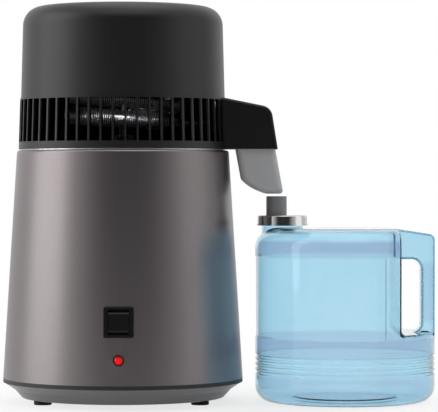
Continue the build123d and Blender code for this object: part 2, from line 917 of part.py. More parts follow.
with BuildPart() as vent_ring:
    with BuildSketch(level_at(unit_x, rim_top_z - slat_width)):
        with PolarLocations(
            ring_base_radius - slat_depth / 2,
            kept_slats,
            (window_slats + 1) * slat_pitch,
            (kept_slats - 1) * slat_pitch,
            endpoint=True,
        ):
            Rectangle(slat_depth, slat_width)
    extrude(amount=crown_plate_z - rim_top_z + slat_width + crown_plate_thickness / 2)
    add(ring_body.part, mode=Mode.INTERSECT)
    with BuildSketch(section_at(unit_x)):
        with BuildLine():
            Polyline(
                (ring_base_radius, rim_z),
                (ring_radius(rim_top_z), rim_top_z),
                (ledge_radius, rim_top_z),
                (ledge_radius, lid_top_z),
                (ring_base_radius - rim_wall, lid_top_z),
                (ring_base_radius - rim_wall, rim_z),
                close=True,
            )
        make_face()
    with BuildSketch(section_at(unit_x)):
        with BuildLine():
            Polyline(
                (ring_top_radius - crown_plate_width, crown_plate_z),
                (ring_radius(crown_plate_z), crown_plate_z),
                (ring_top_radius, slat_top_z),
                (crown_spigot_radius, slat_top_z),
                (crown_spigot_radius, slat_top_z + crown_spigot_height),
                (crown_spigot_radius - crown_spigot_wall, slat_top_z + crown_spigot_height),
                (crown_spigot_radius - crown_spigot_wall, slat_top_z),
                (ring_top_radius - crown_plate_width, slat_top_z),
                close=True,
            )
        make_face()
    revolve(axis=unit_axis)
    for angle in ledge_screw_angles:
        with BuildSketch(ring_plane(ledge_screw_circle, angle, lid_top_z)):
            Circle(screw_radius + slip_gap)
    for place in tab_places:
        with BuildSketch(level_at(unit_x, lid_top_z)):
            with Locations((tab_screw_reach, place)):
                Circle(screw_radius + slip_gap)
    extrude(amount=rim_top_z - lid_top_z, mode=Mode.SUBTRACT)
    for angle in cover_post_angles:
        with BuildSketch(ring_plane(cover_post_circle, angle, crown_plate_z)):
            Circle(screw_radius + slip_gap)
    extrude(amount=crown_plate_thickness, mode=Mode.SUBTRACT)

# Rear baffle: a curved sheet between the ledge and the crown plate, behind the slats of the back
with BuildPart() as rear_baffle:
    with BuildSketch(section_at(unit_x, baffle_start_angle)):
        with Locations((ring_top_radius - crown_plate_width + baffle_lap, rim_top_z)):
            Rectangle(baffle_wall, crown_plate_z - rim_top_z, align=(Align.MAX, Align.MIN))
    revolve(axis=unit_axis, revolution_arc=baffle_sweep_angle)

# Top cover
cover_edge_z = cover_top_z - cover_crown_rise
cover_lean = math.atan(cover_taper / (cover_edge_z - slat_top_z))
fan_inlet_radius = cover_base_radius - fan_inlet_rise * math.tan(cover_lean)
fan_inlet_plane = wall_plane(fan_inlet_radius, cover_lean, fan_inlet_z, 1)
motor_post_circle = motor_arm_length - motor_arm_width / 2
motor_post_angles = ring_angles(motor_post_count, 30)
motor_screw_angles = ring_angles(motor_post_count, 90)
crown_post_z = cover_top_z - cover_crown_rise * (motor_post_circle / cover_top_radius) ** 2 - cover_wall / 2


def cover_outline(inset):
    """Half section of the cover, drawn in from its outside."""
    corner = (cover_top_radius - inset, cover_edge_z - inset)
    with BuildSketch(section_at(unit_x)) as outline:
        with BuildLine():
            Polyline((0, cover_top_z - inset), (0, slat_top_z), (cover_base_radius - inset, slat_top_z), corner)
            TangentArc((0, cover_top_z - inset), corner, tangent=(1, 0))
        make_face()
        fillet(outline.vertices().group_by(Axis.Y)[-2], cover_shoulder_radius - inset)
    return outline.sketch


with BuildPart() as cover_body:
    revolve(cover_outline(0), axis=unit_axis)

with BuildPart() as top_cover:
    revolve(cover_outline(0), axis=unit_axis)
    revolve(cover_outline(cover_wall), axis=unit_axis, mode=Mode.SUBTRACT)
    with BuildSketch(level_at(unit_x, cover_top_z)):
        with PolarLocations(cover_vent_circle, cover_vent_count):
            SlotOverall(cover_vent_length, cover_vent_width)
    extrude(amount=-(cover_crown_rise + cover_wall), mode=Mode.SUBTRACT)
    for angle in cover_post_angles:
        with BuildSketch(ring_plane(cover_post_circle, angle, slat_top_z)):
            Circle(cover_post_radius)
    extrude(amount=cover_post_height)
    rib_length = cover_base_radius - cover_wall / 2 - cover_post_circle
    for angle in cover_post_angles:
        with BuildSketch(ring_plane(cover_post_circle, angle, slat_top_z + crown_spigot_height + slip_gap)):
            with Locations((rib_length / 2, 0)):
                Rectangle(rib_length, cover_rib_thickness)
    extrude(amount=cover_post_height - crown_spigot_height - slip_gap)
    for angle in cover_post_angles:
        with BuildSketch(ring_plane(cover_post_circle, angle, slat_top_z)):
            Circle(screw_radius + slip_gap)
    extrude(amount=screw_bite + slip_gap, mode=Mode.SUBTRACT)
    for angle in motor_post_angles:
        with BuildSketch(ring_plane(motor_post_circle, angle, motor_plate_top_z)):
            Circle(motor_post_radius)
    extrude(amount=crown_post_z - motor_plate_top_z)
    for angle in motor_post_angles:
        with BuildSketch(ring_plane(motor_post_circle, angle, motor_plate_top_z)):
            Circle(screw_radius + slip_gap)
    extrude(amount=screw_bite + slip_gap, mode=Mode.SUBTRACT)
    with BuildSketch(fan_inlet_plane):
        Rectangle(
            fan_inlet_socket_width + 2 * (inlet_wall + slip_gap),
            fan_inlet_socket_height + 2 * (inlet_wall + slip_gap),
        )
    extrude(amount=cover_wall + cut_overrun, both=True, mode=Mode.SUBTRACT)

cover_screws = screw_set(
    [ring_plane(cover_post_circle, angle, crown_plate_z, -1) for angle in cover_post_angles],
    crown_plate_thickness + screw_bite,
)

fan_inlet, fan_pins = inlet(
    fan_inlet_plane,
    cover_body.part,
    (fan_inlet_width, fan_inlet_height),
    (fan_inlet_socket_width, fan_inlet_socket_height, fan_inlet_socket_depth),
    [(-fan_inlet_pin_spacing / 2, 0), (fan_inlet_pin_spacing / 2, 0)],
)

# Condenser coil: up from the steam port, out along an arm, down round the turns, and out through the window
coil_centre = Vector(unit_x, 0, coil_high_z)
coil_exit_angle = -math.degrees(math.asin(coil_bend_radius / (coil_radius + coil_bend_radius)))
coil_start_angle = coil_exit_angle - 90 * coil_quarter_count
arm_turn = math.asin(coil_bend_radius / (coil_radius - coil_bend_radius))
arm_angle = math.radians(coil_start_angle) - arm_turn
arm_way = Vector(math.cos(arm_angle), math.sin(arm_angle), 0)
arm_end = coil_centre + arm_way * ((coil_radius - coil_bend_radius) * math.cos(arm_turn))
port_z = gasket_z + lid_rise
exit_x = unit_x + (coil_radius + coil_bend_radius) * math.cos(math.radians(coil_exit_angle))
drop_x = unit_x + (nozzle_root_high + nozzle_end_high) / 2

with BuildPart() as condenser_coil:
    turns = winding(
        level_at(unit_x, coil_high_z),
        coil_radius,
        coil_low_z - coil_high_z,
        coil_quarter_count,
        coil_start_angle,
    )
    with BuildLine() as coil_path:
        Line((unit_x, 0, port_z), (unit_x, 0, coil_high_z - coil_bend_radius))
        TangentArc(
            (unit_x, 0, coil_high_z - coil_bend_radius),
            coil_centre + arm_way * coil_bend_radius,
            tangent=(0, 0, 1),
        )
        Line(coil_centre + arm_way * coil_bend_radius, arm_end)
        TangentArc(arm_end, turns[0][0], tangent=arm_way)
        for (start, start_way), (end, end_way) in zip(turns, turns[1:]):
            biarc(start, start_way, end, end_way)
        TangentArc(turns[-1][0], (exit_x, 0, coil_low_z), tangent=turns[-1][1])
        Line((exit_x, 0, coil_low_z), (drop_x - coil_bend_radius, 0, coil_low_z))
        TangentArc(
            (drop_x - coil_bend_radius, 0, coil_low_z),
            (drop_x, 0, coil_low_z - coil_bend_radius),
            tangent=(1, 0, 0),
        )
        Line((drop_x, 0, coil_low_z - coil_bend_radius), (drop_x, 0, coil_low_z - coil_drop))
    with BuildSketch(level_at(unit_x, port_z)):
        Circle(tube_radius)
        Circle(tube_radius - tube_wall, mode=Mode.SUBTRACT)
    sweep(path=coil_path.line)

print("condenser coil, least gap to itself:", round(least_gap(Wire(coil_path.edges()), tube_radius), 2))

with BuildPart() as port_nut:
    with BuildSketch(level_at(unit_x, lid_top_z + lid_rise)):
        RegularPolygon(port_nut_radius, 6)
        Circle(port_radius, mode=Mode.SUBTRACT)
    extrude(amount=port_nut_height)

# Fan, its shaft and nut
with BuildPart() as fan:
    with BuildSketch(level_at(unit_x, fan_z)):
        Circle(fan_hub_radius)
    extrude(amount=fan_hub_height)
    for angle in ring_angles(fan_blade_count, 0):
        turn = math.radians(angle)
        out = Vector(math.cos(turn), math.sin(turn), 0)
        middle = Vector(unit_x, 0, fan_z + fan_hub_height / 2)
        across = (-math.sin(turn), math.cos(turn), 0)
        with BuildSketch(Plane(middle + out * (fan_hub_radius / 2), x_dir=across, z_dir=out)):
            Rectangle(fan_blade_root_chord, fan_blade_thickness, rotation=fan_blade_root_angle)
        with BuildSketch(Plane(middle + out * fan_radius, x_dir=across, z_dir=out)):
            Rectangle(fan_blade_tip_chord, fan_blade_thickness, rotation=fan_blade_tip_angle)
        loft()
    with BuildSketch(level_at(unit_x, fan_z)):
        Circle(fan_shaft_radius + shaft_gap)
    extrude(amount=fan_hub_height, mode=Mode.SUBTRACT)

with BuildPart() as fan_shaft:
    with BuildSketch(level_at(unit_x, fan_z - fan_nut_height)):
        Circle(fan_shaft_radius)
    extrude(amount=fan_nut_height + fan_hub_height + fan_clearance + fan_shaft_grip)

with BuildPart() as fan_nut:
    with BuildSketch(level_at(unit_x, fan_z)):
        RegularPolygon(fan_nut_radius, 6)
        Circle(fan_shaft_radius + shaft_gap, mode=Mode.SUBTRACT)
    extrude(amount=-fan_nut_height)

# Motor and the plate that it hangs from
with BuildPart() as fan_motor:
    with BuildSketch(level_at(unit_x, motor_z)):
        Circle(motor_radius)
    extrude(amount=motor_height)
    with BuildSketch(level_at(unit_x, motor_z)):
        Circle(motor_boss_radius)
    extrude(amount=-motor_boss_height)
    with BuildSketch(level_at(unit_x, motor_z - motor_boss_height)):
        Circle(fan_shaft_radius + shaft_gap)
    extrude(amount=motor_boss_height + fan_shaft_grip + slide_gap, mode=Mode.SUBTRACT)
    for angle in motor_screw_angles:
        with BuildSketch(ring_plane(motor_screw_circle_radius, angle, motor_top_z)):
            Circle(screw_radius + slip_gap)
    extrude(amount=-screw_bite - slip_gap, mode=Mode.SUBTRACT)

with BuildPart() as motor_plate:
    with BuildSketch(level_at(unit_x, motor_top_z)):
        Circle(motor_plate_radius)
        with PolarLocations(motor_arm_length / 2, motor_post_count, motor_post_angles[0]):
            RectangleRounded(motor_arm_length, motor_arm_width, motor_arm_width / 3)
        with PolarLocations(motor_post_circle, motor_post_count, motor_post_angles[0]):
            Circle(screw_radius + slip_gap, mode=Mode.SUBTRACT)
        with PolarLocations(motor_screw_circle_radius, motor_post_count, motor_screw_angles[0]):
            Circle(screw_radius + slip_gap, mode=Mode.SUBTRACT)
    extrude(amount=motor_plate_thickness)

motor_screws = screw_set(
    [ring_plane(motor_screw_circle_radius, angle, motor_plate_top_z) for angle in motor_screw_angles],
    motor_plate_thickness + screw_bite,
)
plate_screws = screw_set(
    [ring_plane(motor_post_circle, angle, motor_top_z, -1) for angle in motor_post_angles],
    motor_plate_thickness + screw_bite,
)

# Spout hood over the window in the vent ring
hood_fall = math.tan(math.radians(hood_fall_angle))
hood_rake = math.tan(math.radians(hood_rake_angle))
hood_start = ring_top_radius - hood_root
hood_nose_z = slat_top_z - (hood_end - ring_top_radius + rim_z * hood_rake) * hood_fall
hood_nose_z = hood_nose_z / (1 - hood_rake * hood_fall)
hood_nose = hood_end - (hood_nose_z - rim_z) * hood_rake
hood_mouth = (nozzle_root_high - hood_wall * nozzle_slope - slip_gap, nozzle_end_high + slip_gap)
tab_root_length = tab_end - ring_base_radius - slip_gap
tab_root_width = hood_width / 2 - hood_wall / 2 - tab_outer

with BuildPart() as spout_hood:
    with BuildSketch(section_at(unit_x)) as hood_profile:
        with BuildLine():
            Polyline(
                (hood_start, rim_z),
                (hood_end, rim_z),
                (hood_nose, hood_nose_z),
                (hood_start, slat_top_z + hood_root * hood_fall),
                close=True,
            )
        make_face()
        fillet(hood_profile.vertices().sort_by(Axis.X)[-2], hood_nose_radius)
    extrude(amount=hood_width / 2, both=True)
    fillet(
        spout_hood.edges().filter_by(
            lambda edge: abs(edge.center().Y) > hood_width / 3
            and edge.center().Z > rim_z + slip_gap
            and edge.center().X > unit_x + hood_start + slip_gap
        ),
        hood_edge_radius,
    )
    offset(amount=-hood_wall, openings=spout_hood.faces().sort_by(Axis.X)[0])
    with BuildSketch(level_at(unit_x, rim_z)):
        with Locations(((hood_mouth[0] + hood_mouth[1]) / 2, 0)):
            Rectangle(hood_mouth[1] - hood_mouth[0], nozzle_width + 2 * slip_gap)
    extrude(amount=hood_wall, mode=Mode.SUBTRACT)
    add(ring_body.part, mode=Mode.SUBTRACT)
    with BuildSketch(level_at(unit_x, rim_top_z)):
        for place in tab_places:
            with Locations((tab_end - hood_tab_length / 2, place)):
                Rectangle(hood_tab_length, hood_tab_width)
            with Locations((tab_end - tab_root_length / 2, math.copysign(tab_outer + tab_root_width / 2, place))):
                Rectangle(tab_root_length, tab_root_width)
            with Locations((tab_screw_reach, place)):
                Circle(screw_radius + slip_gap, mode=Mode.SUBTRACT)
    extrude(amount=hood_tab_thickness)

hood_screws = screw_set(
    [Plane((unit_x + tab_screw_reach, place, rim_top_z + hood_tab_thickness)) for place in tab_places],
    hood_tab_thickness + rim_top_z - lid_top_z,
)

# Nozzle, open at the top inside the hood, and the carbon sachet in it
nozzle_top_z = rim_z + nozzle_engagement
nozzle_heel_z = rim_z - nozzle_height * nozzle_heel_share
nozzle_toe = nozzle_end_low - outlet_width


def nozzle_lean(z):
    """How far the nozzle's walls have moved out at height z."""
    return (rim_z - z) * nozzle_slope


nozzle_heel = (nozzle_root_high + nozzle_lean(nozzle_heel_z), nozzle_heel_z)
nozzle_belly = (
    (nozzle_heel[0] + nozzle_toe) / 2 - (nozzle_heel_z - nozzle_z) * nozzle_belly_share,
    (nozzle_heel_z + nozzle_z) / 2 - (nozzle_toe - nozzle_heel[0]) * nozzle_belly_share,
)

with BuildPart() as nozzle:
    with BuildSketch(section_at(unit_x)) as nozzle_profile:
        with BuildLine():
            ThreePointArc(nozzle_heel, nozzle_belly, (nozzle_toe, nozzle_z))
            Polyline(
                (nozzle_toe, nozzle_z),
                (nozzle_end_low, nozzle_z),
                (nozzle_end_high + nozzle_lean(nozzle_top_z), nozzle_top_z),
                (nozzle_root_high + nozzle_lean(nozzle_top_z), nozzle_top_z),
                nozzle_heel,
            )
        make_face()
        fillet(nozzle_profile.vertices().group_by(Axis.Y)[0], nozzle_toe_radius)
        fillet(nozzle_profile.vertices().sort_by(Axis.X)[1], nozzle_heel_radius)
    extrude(amount=nozzle_width / 2, both=True)
    fillet(
        nozzle.edges().filter_by(
            lambda edge: abs(edge.center().Y) > nozzle_width / 3 and edge.center().Z < nozzle_top_z - slip_gap
        ),
        nozzle_edge_radius,
    )
    offset(amount=-nozzle_wall, openings=nozzle.faces().sort_by(Axis.Z)[-1])
    with BuildSketch(level_at(outlet_x, nozzle_z)):
        Circle(outlet_radius)
    extrude(amount=nozzle_wall + nozzle_toe_radius, mode=Mode.SUBTRACT)

sachet_z = nozzle_z + nozzle_height * sachet_rise_share
sachet_reach = (nozzle_root_high + nozzle_end_high) / 2 + nozzle_lean(sachet_z)
sachet_wall = nozzle_wall / math.cos(math.radians(nozzle_lean_angle))
sachet_room = min((nozzle_end_high - nozzle_root_high) / 2 - sachet_wall, nozzle_width / 2 - nozzle_wall)
sachet_radius = sachet_room - slide_gap

with BuildPart() as carbon_sachet:
    with BuildSketch(section_at(unit_x + sachet_reach)):
        with BuildLine():
            for side in (-1, 1):
                TangentArc(
                    (0, sachet_z + side * sachet_thickness / 2),
                    (sachet_radius, sachet_z + side * sachet_edge_thickness / 2),
                    tangent=(1, 0),
                )
            Line(
                (sachet_radius, sachet_z - sachet_edge_thickness / 2),
                (sachet_radius, sachet_z + sachet_edge_thickness / 2),
            )
            Line((0, sachet_z + sachet_thickness / 2), (0, sachet_z - sachet_thickness / 2))
        make_face()
    revolve(axis=Axis((unit_x + sachet_reach, 0, 0), (0, 0, 1)))

# Jug
pocket_reach = jug_radius - pocket_depth
grip_reach = jug_radius - grip_thickness


def jug_outline(inset):
    """Half section of the jug's round body, drawn in from its outside."""
    radius = jug_radius - inset
    top_z = jug_top_z - inset
    base = jug_base_radius - inset
    shoulder = jug_shoulder_radius - inset
    with BuildSketch(section_at(jug_x)) as outline:
        with BuildLine():
            Polyline(
                (0, top_z),
                (0, inset + jug_punt_depth),
                (jug_punt_radius, inset + jug_punt_depth),
                (jug_punt_radius + jug_punt_depth, inset),
                (radius - base, inset),
            )
            TangentArc((radius - base, inset), (radius, inset + base), tangent=(1, 0))
            low_z = inset + base
            for step in range(rib_count):
                rib_z = rib_rise + rib_pitch * step
                Line((radius, low_z), (radius, rib_z))
                ThreePointArc(
                    (radius, rib_z),
                    (radius - rib_depth, rib_z + rib_width / 2),
                    (radius, rib_z + rib_width),
                )
                low_z = rib_z + rib_width
            Line((radius, low_z), (radius, top_z - shoulder))
            TangentArc((radius, top_z - shoulder), (radius - shoulder, top_z), tangent=(0, 1))
            Line((radius - shoulder, top_z), (0, top_z))
        make_face()
    return outline.sketch


def jug_handle(inset):
    """The handle's closed form: a slab within the jug's round, with a sloping top and the finger gap through it."""
    gap_start = pocket_reach - pocket_edge_radius
    gap_end = grip_reach + inset
    gap_low_z = pocket_floor_z - inset - pocket_edge_radius
    gap_top_z = finger_gap_top_z + inset
    with BuildPart() as handle:
        with BuildSketch(section_at(jug_x)):
            with BuildLine():
                Polyline(
                    (gap_start, gap_low_z),
                    (jug_radius, gap_low_z),
                    (jug_radius, jug_top_z - handle_drop - inset),
                    (gap_start, jug_top_z - inset),
                    close=True,
                )
            make_face()
        extrude(amount=handle_width / 2 - inset, both=True)
        with BuildSketch(level_at(jug_x, gap_low_z)):
            Circle(jug_radius - inset)
        extrude(amount=jug_top_z, mode=Mode.INTERSECT)
        fillet(handle.faces().sort_by(Axis.Z)[-1].edges().sort_by(Axis.X)[-1], handle_corner_radius - inset)
        with BuildSketch(section_at(jug_x)) as finger_gap:
            with Locations((gap_end, gap_top_z)):
                Rectangle(gap_end, gap_top_z - pocket_floor_z + inset, align=Align.MAX)
            fillet(finger_gap.vertices().group_by(Axis.X)[-1], finger_gap_corner_radius + inset)
        extrude(amount=handle_width, both=True, mode=Mode.SUBTRACT)
        fillet(
            handle.edges().filter_by(
                lambda edge: abs(edge.center().Y) > handle_width / 2 - inset - slip_gap
                and edge.center().X > jug_x + gap_start + slip_gap
                and edge.center().Z > gap_low_z + slip_gap
            ),
            handle_edge_radius - inset,
        )
    return handle.part


def jug_form(inset, neck_end_z):
    """The jug's closed form, drawn in from its outside: the body with its pocket, the handle and the neck."""
    with BuildPart() as form:
        revolve(jug_outline(inset), axis=jug_axis)
        with BuildSketch(section_at(jug_x)):
            with Locations((pocket_reach - inset, pocket_floor_z - inset)):
                Rectangle(jug_radius, jug_top_z, align=Align.MIN)
        extrude(amount=jug_radius, both=True, mode=Mode.SUBTRACT)
        pocket_wall = form.faces().filter_by(Plane.YZ)[0]
        pocket_floor = form.faces().filter_by(Plane.XY).sort_by(Axis.Z)[-2]
        fillet(
            pocket_wall.edges() + pocket_floor.edges().filter_by(GeomType.CIRCLE),
            pocket_edge_radius - inset,
        )
        add(jug_handle(inset))
        with BuildSketch(level_at(cap_x, jug_top_z - jug_shoulder_radius)):
            Circle(neck_radius - inset)
        extrude(amount=neck_end_z - jug_top_z + jug_shoulder_radius)
        with BuildSketch(section_at(jug_x, panel_start_angle)):
            with BuildLine():
                Polyline(
                    (jug_radius - inset + panel_depth, panel_rise - panel_depth),
                    (jug_radius - inset - panel_depth, panel_rise + panel_depth),
                    (jug_radius - inset - panel_depth, panel_rise + panel_height - panel_depth),
                    (jug_radius - inset + panel_depth, panel_rise + panel_height + panel_depth),
                    close=True,
                )
            make_face()
        revolve(axis=jug_axis, revolution_arc=panel_sweep_angle, mode=Mode.SUBTRACT)
    return form.part


with BuildPart() as jug:
    add(jug_form(0, neck_top_z))
    add(jug_form(jug_wall, neck_top_z + cut_overrun), mode=Mode.SUBTRACT)

# Cap, seal and spigot
cap_bore_radius = neck_radius + cap_clearance
spigot_reach = outlet_x - cap_x

with BuildPart() as jug_cap:
    with BuildSketch(level_at(cap_x, cap_z)):
        Circle(cap_radius)
    extrude(amount=cap_height)
    fillet(jug_cap.edges().group_by(Axis.Z)[-1], cap_edge_radius)
    with BuildSketch(level_at(cap_x, cap_z)):
        Circle(cap_radius + cap_lip_width)
    extrude(amount=cap_lip_height)
    with BuildSketch(level_at(cap_x, cap_z)):
        Circle(cap_bore_radius)
    extrude(amount=cap_height - cap_wall, mode=Mode.SUBTRACT)
    with BuildSketch(level_at(outlet_x, cap_z)):
        Circle(spigot_radius + slip_gap)
    extrude(amount=cap_height, mode=Mode.SUBTRACT)

with BuildPart() as cap_seal:
    with BuildSketch(level_at(cap_x, neck_top_z)):
        Circle(cap_bore_radius - slip_gap)
        Circle(neck_radius - jug_wall, mode=Mode.SUBTRACT)
    extrude(amount=seal_thickness)

with BuildPart() as cap_spigot:
    with BuildSketch(level_at(outlet_x, neck_top_z)):
        Circle(spigot_radius)
    extrude(amount=spigot_top_z - neck_top_z)
    with BuildSketch(level_at(outlet_x, neck_top_z)):
        Circle(spigot_radius + spigot_collar_width)
    extrude(amount=seal_thickness)
    with BuildSketch(level_at(outlet_x, neck_top_z)):
        Circle(spigot_radius - spigot_wall)
    extrude(amount=spigot_top_z - neck_top_z, mode=Mode.SUBTRACT)

pieces = {
    "outer_case": outer_case,
    "base_trim": base_trim,
    "base_pan": base_pan,
    "foot_rear": foot_rear,
    "foot_front_left": foot_front_left,
    "foot_front_right": foot_front_right,
    "foot_screws": foot_screws,
    "tie_pillars": tie_pillars,
    "pan_screws": pan_screws,
    "boiling_chamber": boiling_chamber,
    "heater_plate": heater_plate,
    "heater_element": heater_element,
    "thermostat": thermostat_control,
    "thermal_cutout": thermal_cutout,
    "thermostat_screws": thermostat_screws,
    "switch_bezel": switch_bezel,
    "switch_housing": switch_housing,
    "switch_terminals": switch_terminals,
    "push_button": push_button,
    "switch_spring": switch_spring,
    "lamp_holder": lamp_holder,
    "lamp_lens": lamp_lens,
    "mains_inlet": mains_inlet,
    "mains_pins": mains_pins,
    "lead_gland": lead_gland,
    "lid_plate": lid_plate,
    "lid_gasket": lid_gasket,
    "lid_screws": lid_screws,
    "vent_ring": vent_ring,
    "rear_baffle": rear_baffle,
    "top_cover": top_cover,
    "cover_screws": cover_screws,
    "fan_inlet": fan_inlet,
    "fan_pins": fan_pins,
    "condenser_coil": condenser_coil,
    "port_nut": port_nut,
    "fan": fan,
    "fan_shaft": fan_shaft,
    "fan_nut": fan_nut,
    "fan_motor": fan_motor,
    "motor_plate": motor_plate,
    "motor_screws": motor_screws,
    "plate_screws": plate_screws,
    "spout_hood": spout_hood,
    "hood_screws": hood_screws,
    "nozzle": nozzle,
    "carbon_sachet": carbon_sachet,
    "jug": jug,
    "jug_cap": jug_cap,
    "cap_seal": cap_seal,
    "cap_spigot": cap_spigot,
}
for label, piece in pieces.items():
    piece.part.label = label
    export_step(piece.part, f"parts/{label}.step")
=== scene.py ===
import json
import math

import bmesh
import bpy
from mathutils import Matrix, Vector


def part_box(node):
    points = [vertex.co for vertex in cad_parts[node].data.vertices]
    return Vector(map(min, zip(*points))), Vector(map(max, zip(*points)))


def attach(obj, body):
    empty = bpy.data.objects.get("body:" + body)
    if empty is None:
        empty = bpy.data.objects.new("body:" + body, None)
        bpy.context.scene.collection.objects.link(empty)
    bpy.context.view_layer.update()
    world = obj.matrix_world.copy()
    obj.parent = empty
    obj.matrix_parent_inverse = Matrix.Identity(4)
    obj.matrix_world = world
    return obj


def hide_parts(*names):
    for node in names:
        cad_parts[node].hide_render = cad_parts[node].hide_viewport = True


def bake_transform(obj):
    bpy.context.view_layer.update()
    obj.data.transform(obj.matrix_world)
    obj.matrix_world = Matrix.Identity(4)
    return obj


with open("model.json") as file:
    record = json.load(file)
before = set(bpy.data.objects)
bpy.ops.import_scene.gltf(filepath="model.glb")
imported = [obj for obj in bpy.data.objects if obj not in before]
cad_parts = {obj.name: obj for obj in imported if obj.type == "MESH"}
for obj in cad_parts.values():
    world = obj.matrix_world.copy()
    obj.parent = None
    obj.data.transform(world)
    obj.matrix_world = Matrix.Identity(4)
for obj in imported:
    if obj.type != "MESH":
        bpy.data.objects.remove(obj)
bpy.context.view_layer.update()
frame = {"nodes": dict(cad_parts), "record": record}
nodes = frame["nodes"]


# Node helpers
def srgb(red, green, blue):
    """A screen colour, 0 to 255, as linear light."""
    levels = [level / 255 for level in (red, green, blue)]
    return tuple(v / 12.92 if v < 0.04 else ((v + 0.055) / 1.055) ** 2.4 for v in levels) + (1.0,)


def add(tree, kind, settings=None, **inputs):
    """A node with its own settings, and its inputs given a value or linked to a socket."""
    node = tree.nodes.new("ShaderNode" + kind)
    for key, value in (settings or {}).items():
        setattr(node, key, value)
    for key, value in inputs.items():
        put(tree, node.inputs[key.replace("_", " ")], value)
    return node


def put(tree, socket, value):
    """A socket given a value or linked to another socket."""
    if isinstance(value, bpy.types.NodeSocket):
        tree.links.new(value, socket)
    else:
        socket.default_value = value


def mix_colour(tree, factor, first, second):
    """The first colour at 0, the second at 1."""
    node = tree.nodes.new("ShaderNodeMix")
    node.data_type = "RGBA"
    put(tree, node.inputs["Factor"], factor)
    put(tree, node.inputs[6], first)
    put(tree, node.inputs[7], second)
    return node.outputs[2]


def math_node(tree, operation, first, second=0.0, third=0.0):
    """The result of a sum on up to three numbers or sockets."""
    node = tree.nodes.new("ShaderNodeMath")
    node.operation = operation
    for place, value in enumerate((first, second, third)):
        put(tree, node.inputs[place], value)
    return node.outputs[0]


def new_material(name, **sockets):
    """A material and its surface shader, with the shader's plain values set."""
    made = bpy.data.materials.new(name)
    made.use_nodes = True
    shader = made.node_tree.nodes["Principled BSDF"]
    for key, value in sockets.items():
        shader.inputs[key.replace("_", " ")].default_value = value
    return made, made.node_tree, shader


def opened(made):
    """A finished material's node tree, surface shader and tone, to work on further."""
    shader = made.node_tree.nodes["Principled BSDF"]
    return made.node_tree, shader, shader.inputs["Base Color"].links[0].from_socket


def object_point(tree):
    """Places on the surface in metres."""
    return tree.nodes.new("ShaderNodeTexCoord").outputs["Object"]


def stretched_point(tree, stretch=(1.0, 1.0, 1.0)):
    """Places on the surface in metres, stretched for brushed grain."""
    return add(tree, "Mapping", Vector=object_point(tree), Scale=stretch).outputs[0]


def length_of(tree, vector):
    """The length of a vector."""
    node = add(tree, "VectorMath", {"operation": "LENGTH"})
    put(tree, node.inputs[0], vector)
    return node.outputs["Value"]


def ramp(tree, value, low, high, settings=None, first=0.0, last=1.0):
    """A number that goes from its first to its last level while the value goes from low to high."""
    return add(
        tree, "MapRange", settings, Value=value, From_Min=low, From_Max=high, To_Min=first, To_Max=last,
    ).outputs[0]


def finish(
    name, first, second, gloss, grain=1500.0, relief=0.04, depth=0.0002, mottle=18.0, stretch=(1.0, 1.0, 1.0),
    **sockets,
):
    """A finish that drifts between two tones, with a fine grain in its gloss and relief."""
    made, tree, shader = new_material(name, **sockets)
    place = stretched_point(tree, stretch)
    broad = add(tree, "TexNoise", Vector=place, Scale=mottle, Detail=4.0, Roughness=0.6)
    fine = add(tree, "TexNoise", Vector=place, Scale=grain, Detail=3.0, Roughness=0.65)
    put(tree, shader.inputs["Base Color"], mix_colour(tree, broad.outputs[0], first, second))
    spread = ramp(tree, fine.outputs[0], 0.3, 0.7, first=gloss[0], last=gloss[1])
    put(tree, shader.inputs["Roughness"], spread)
    bump = add(tree, "Bump", Strength=relief, Distance=depth, Height=fine.outputs[0])
    put(tree, shader.inputs["Normal"], bump.outputs[0])
    return made


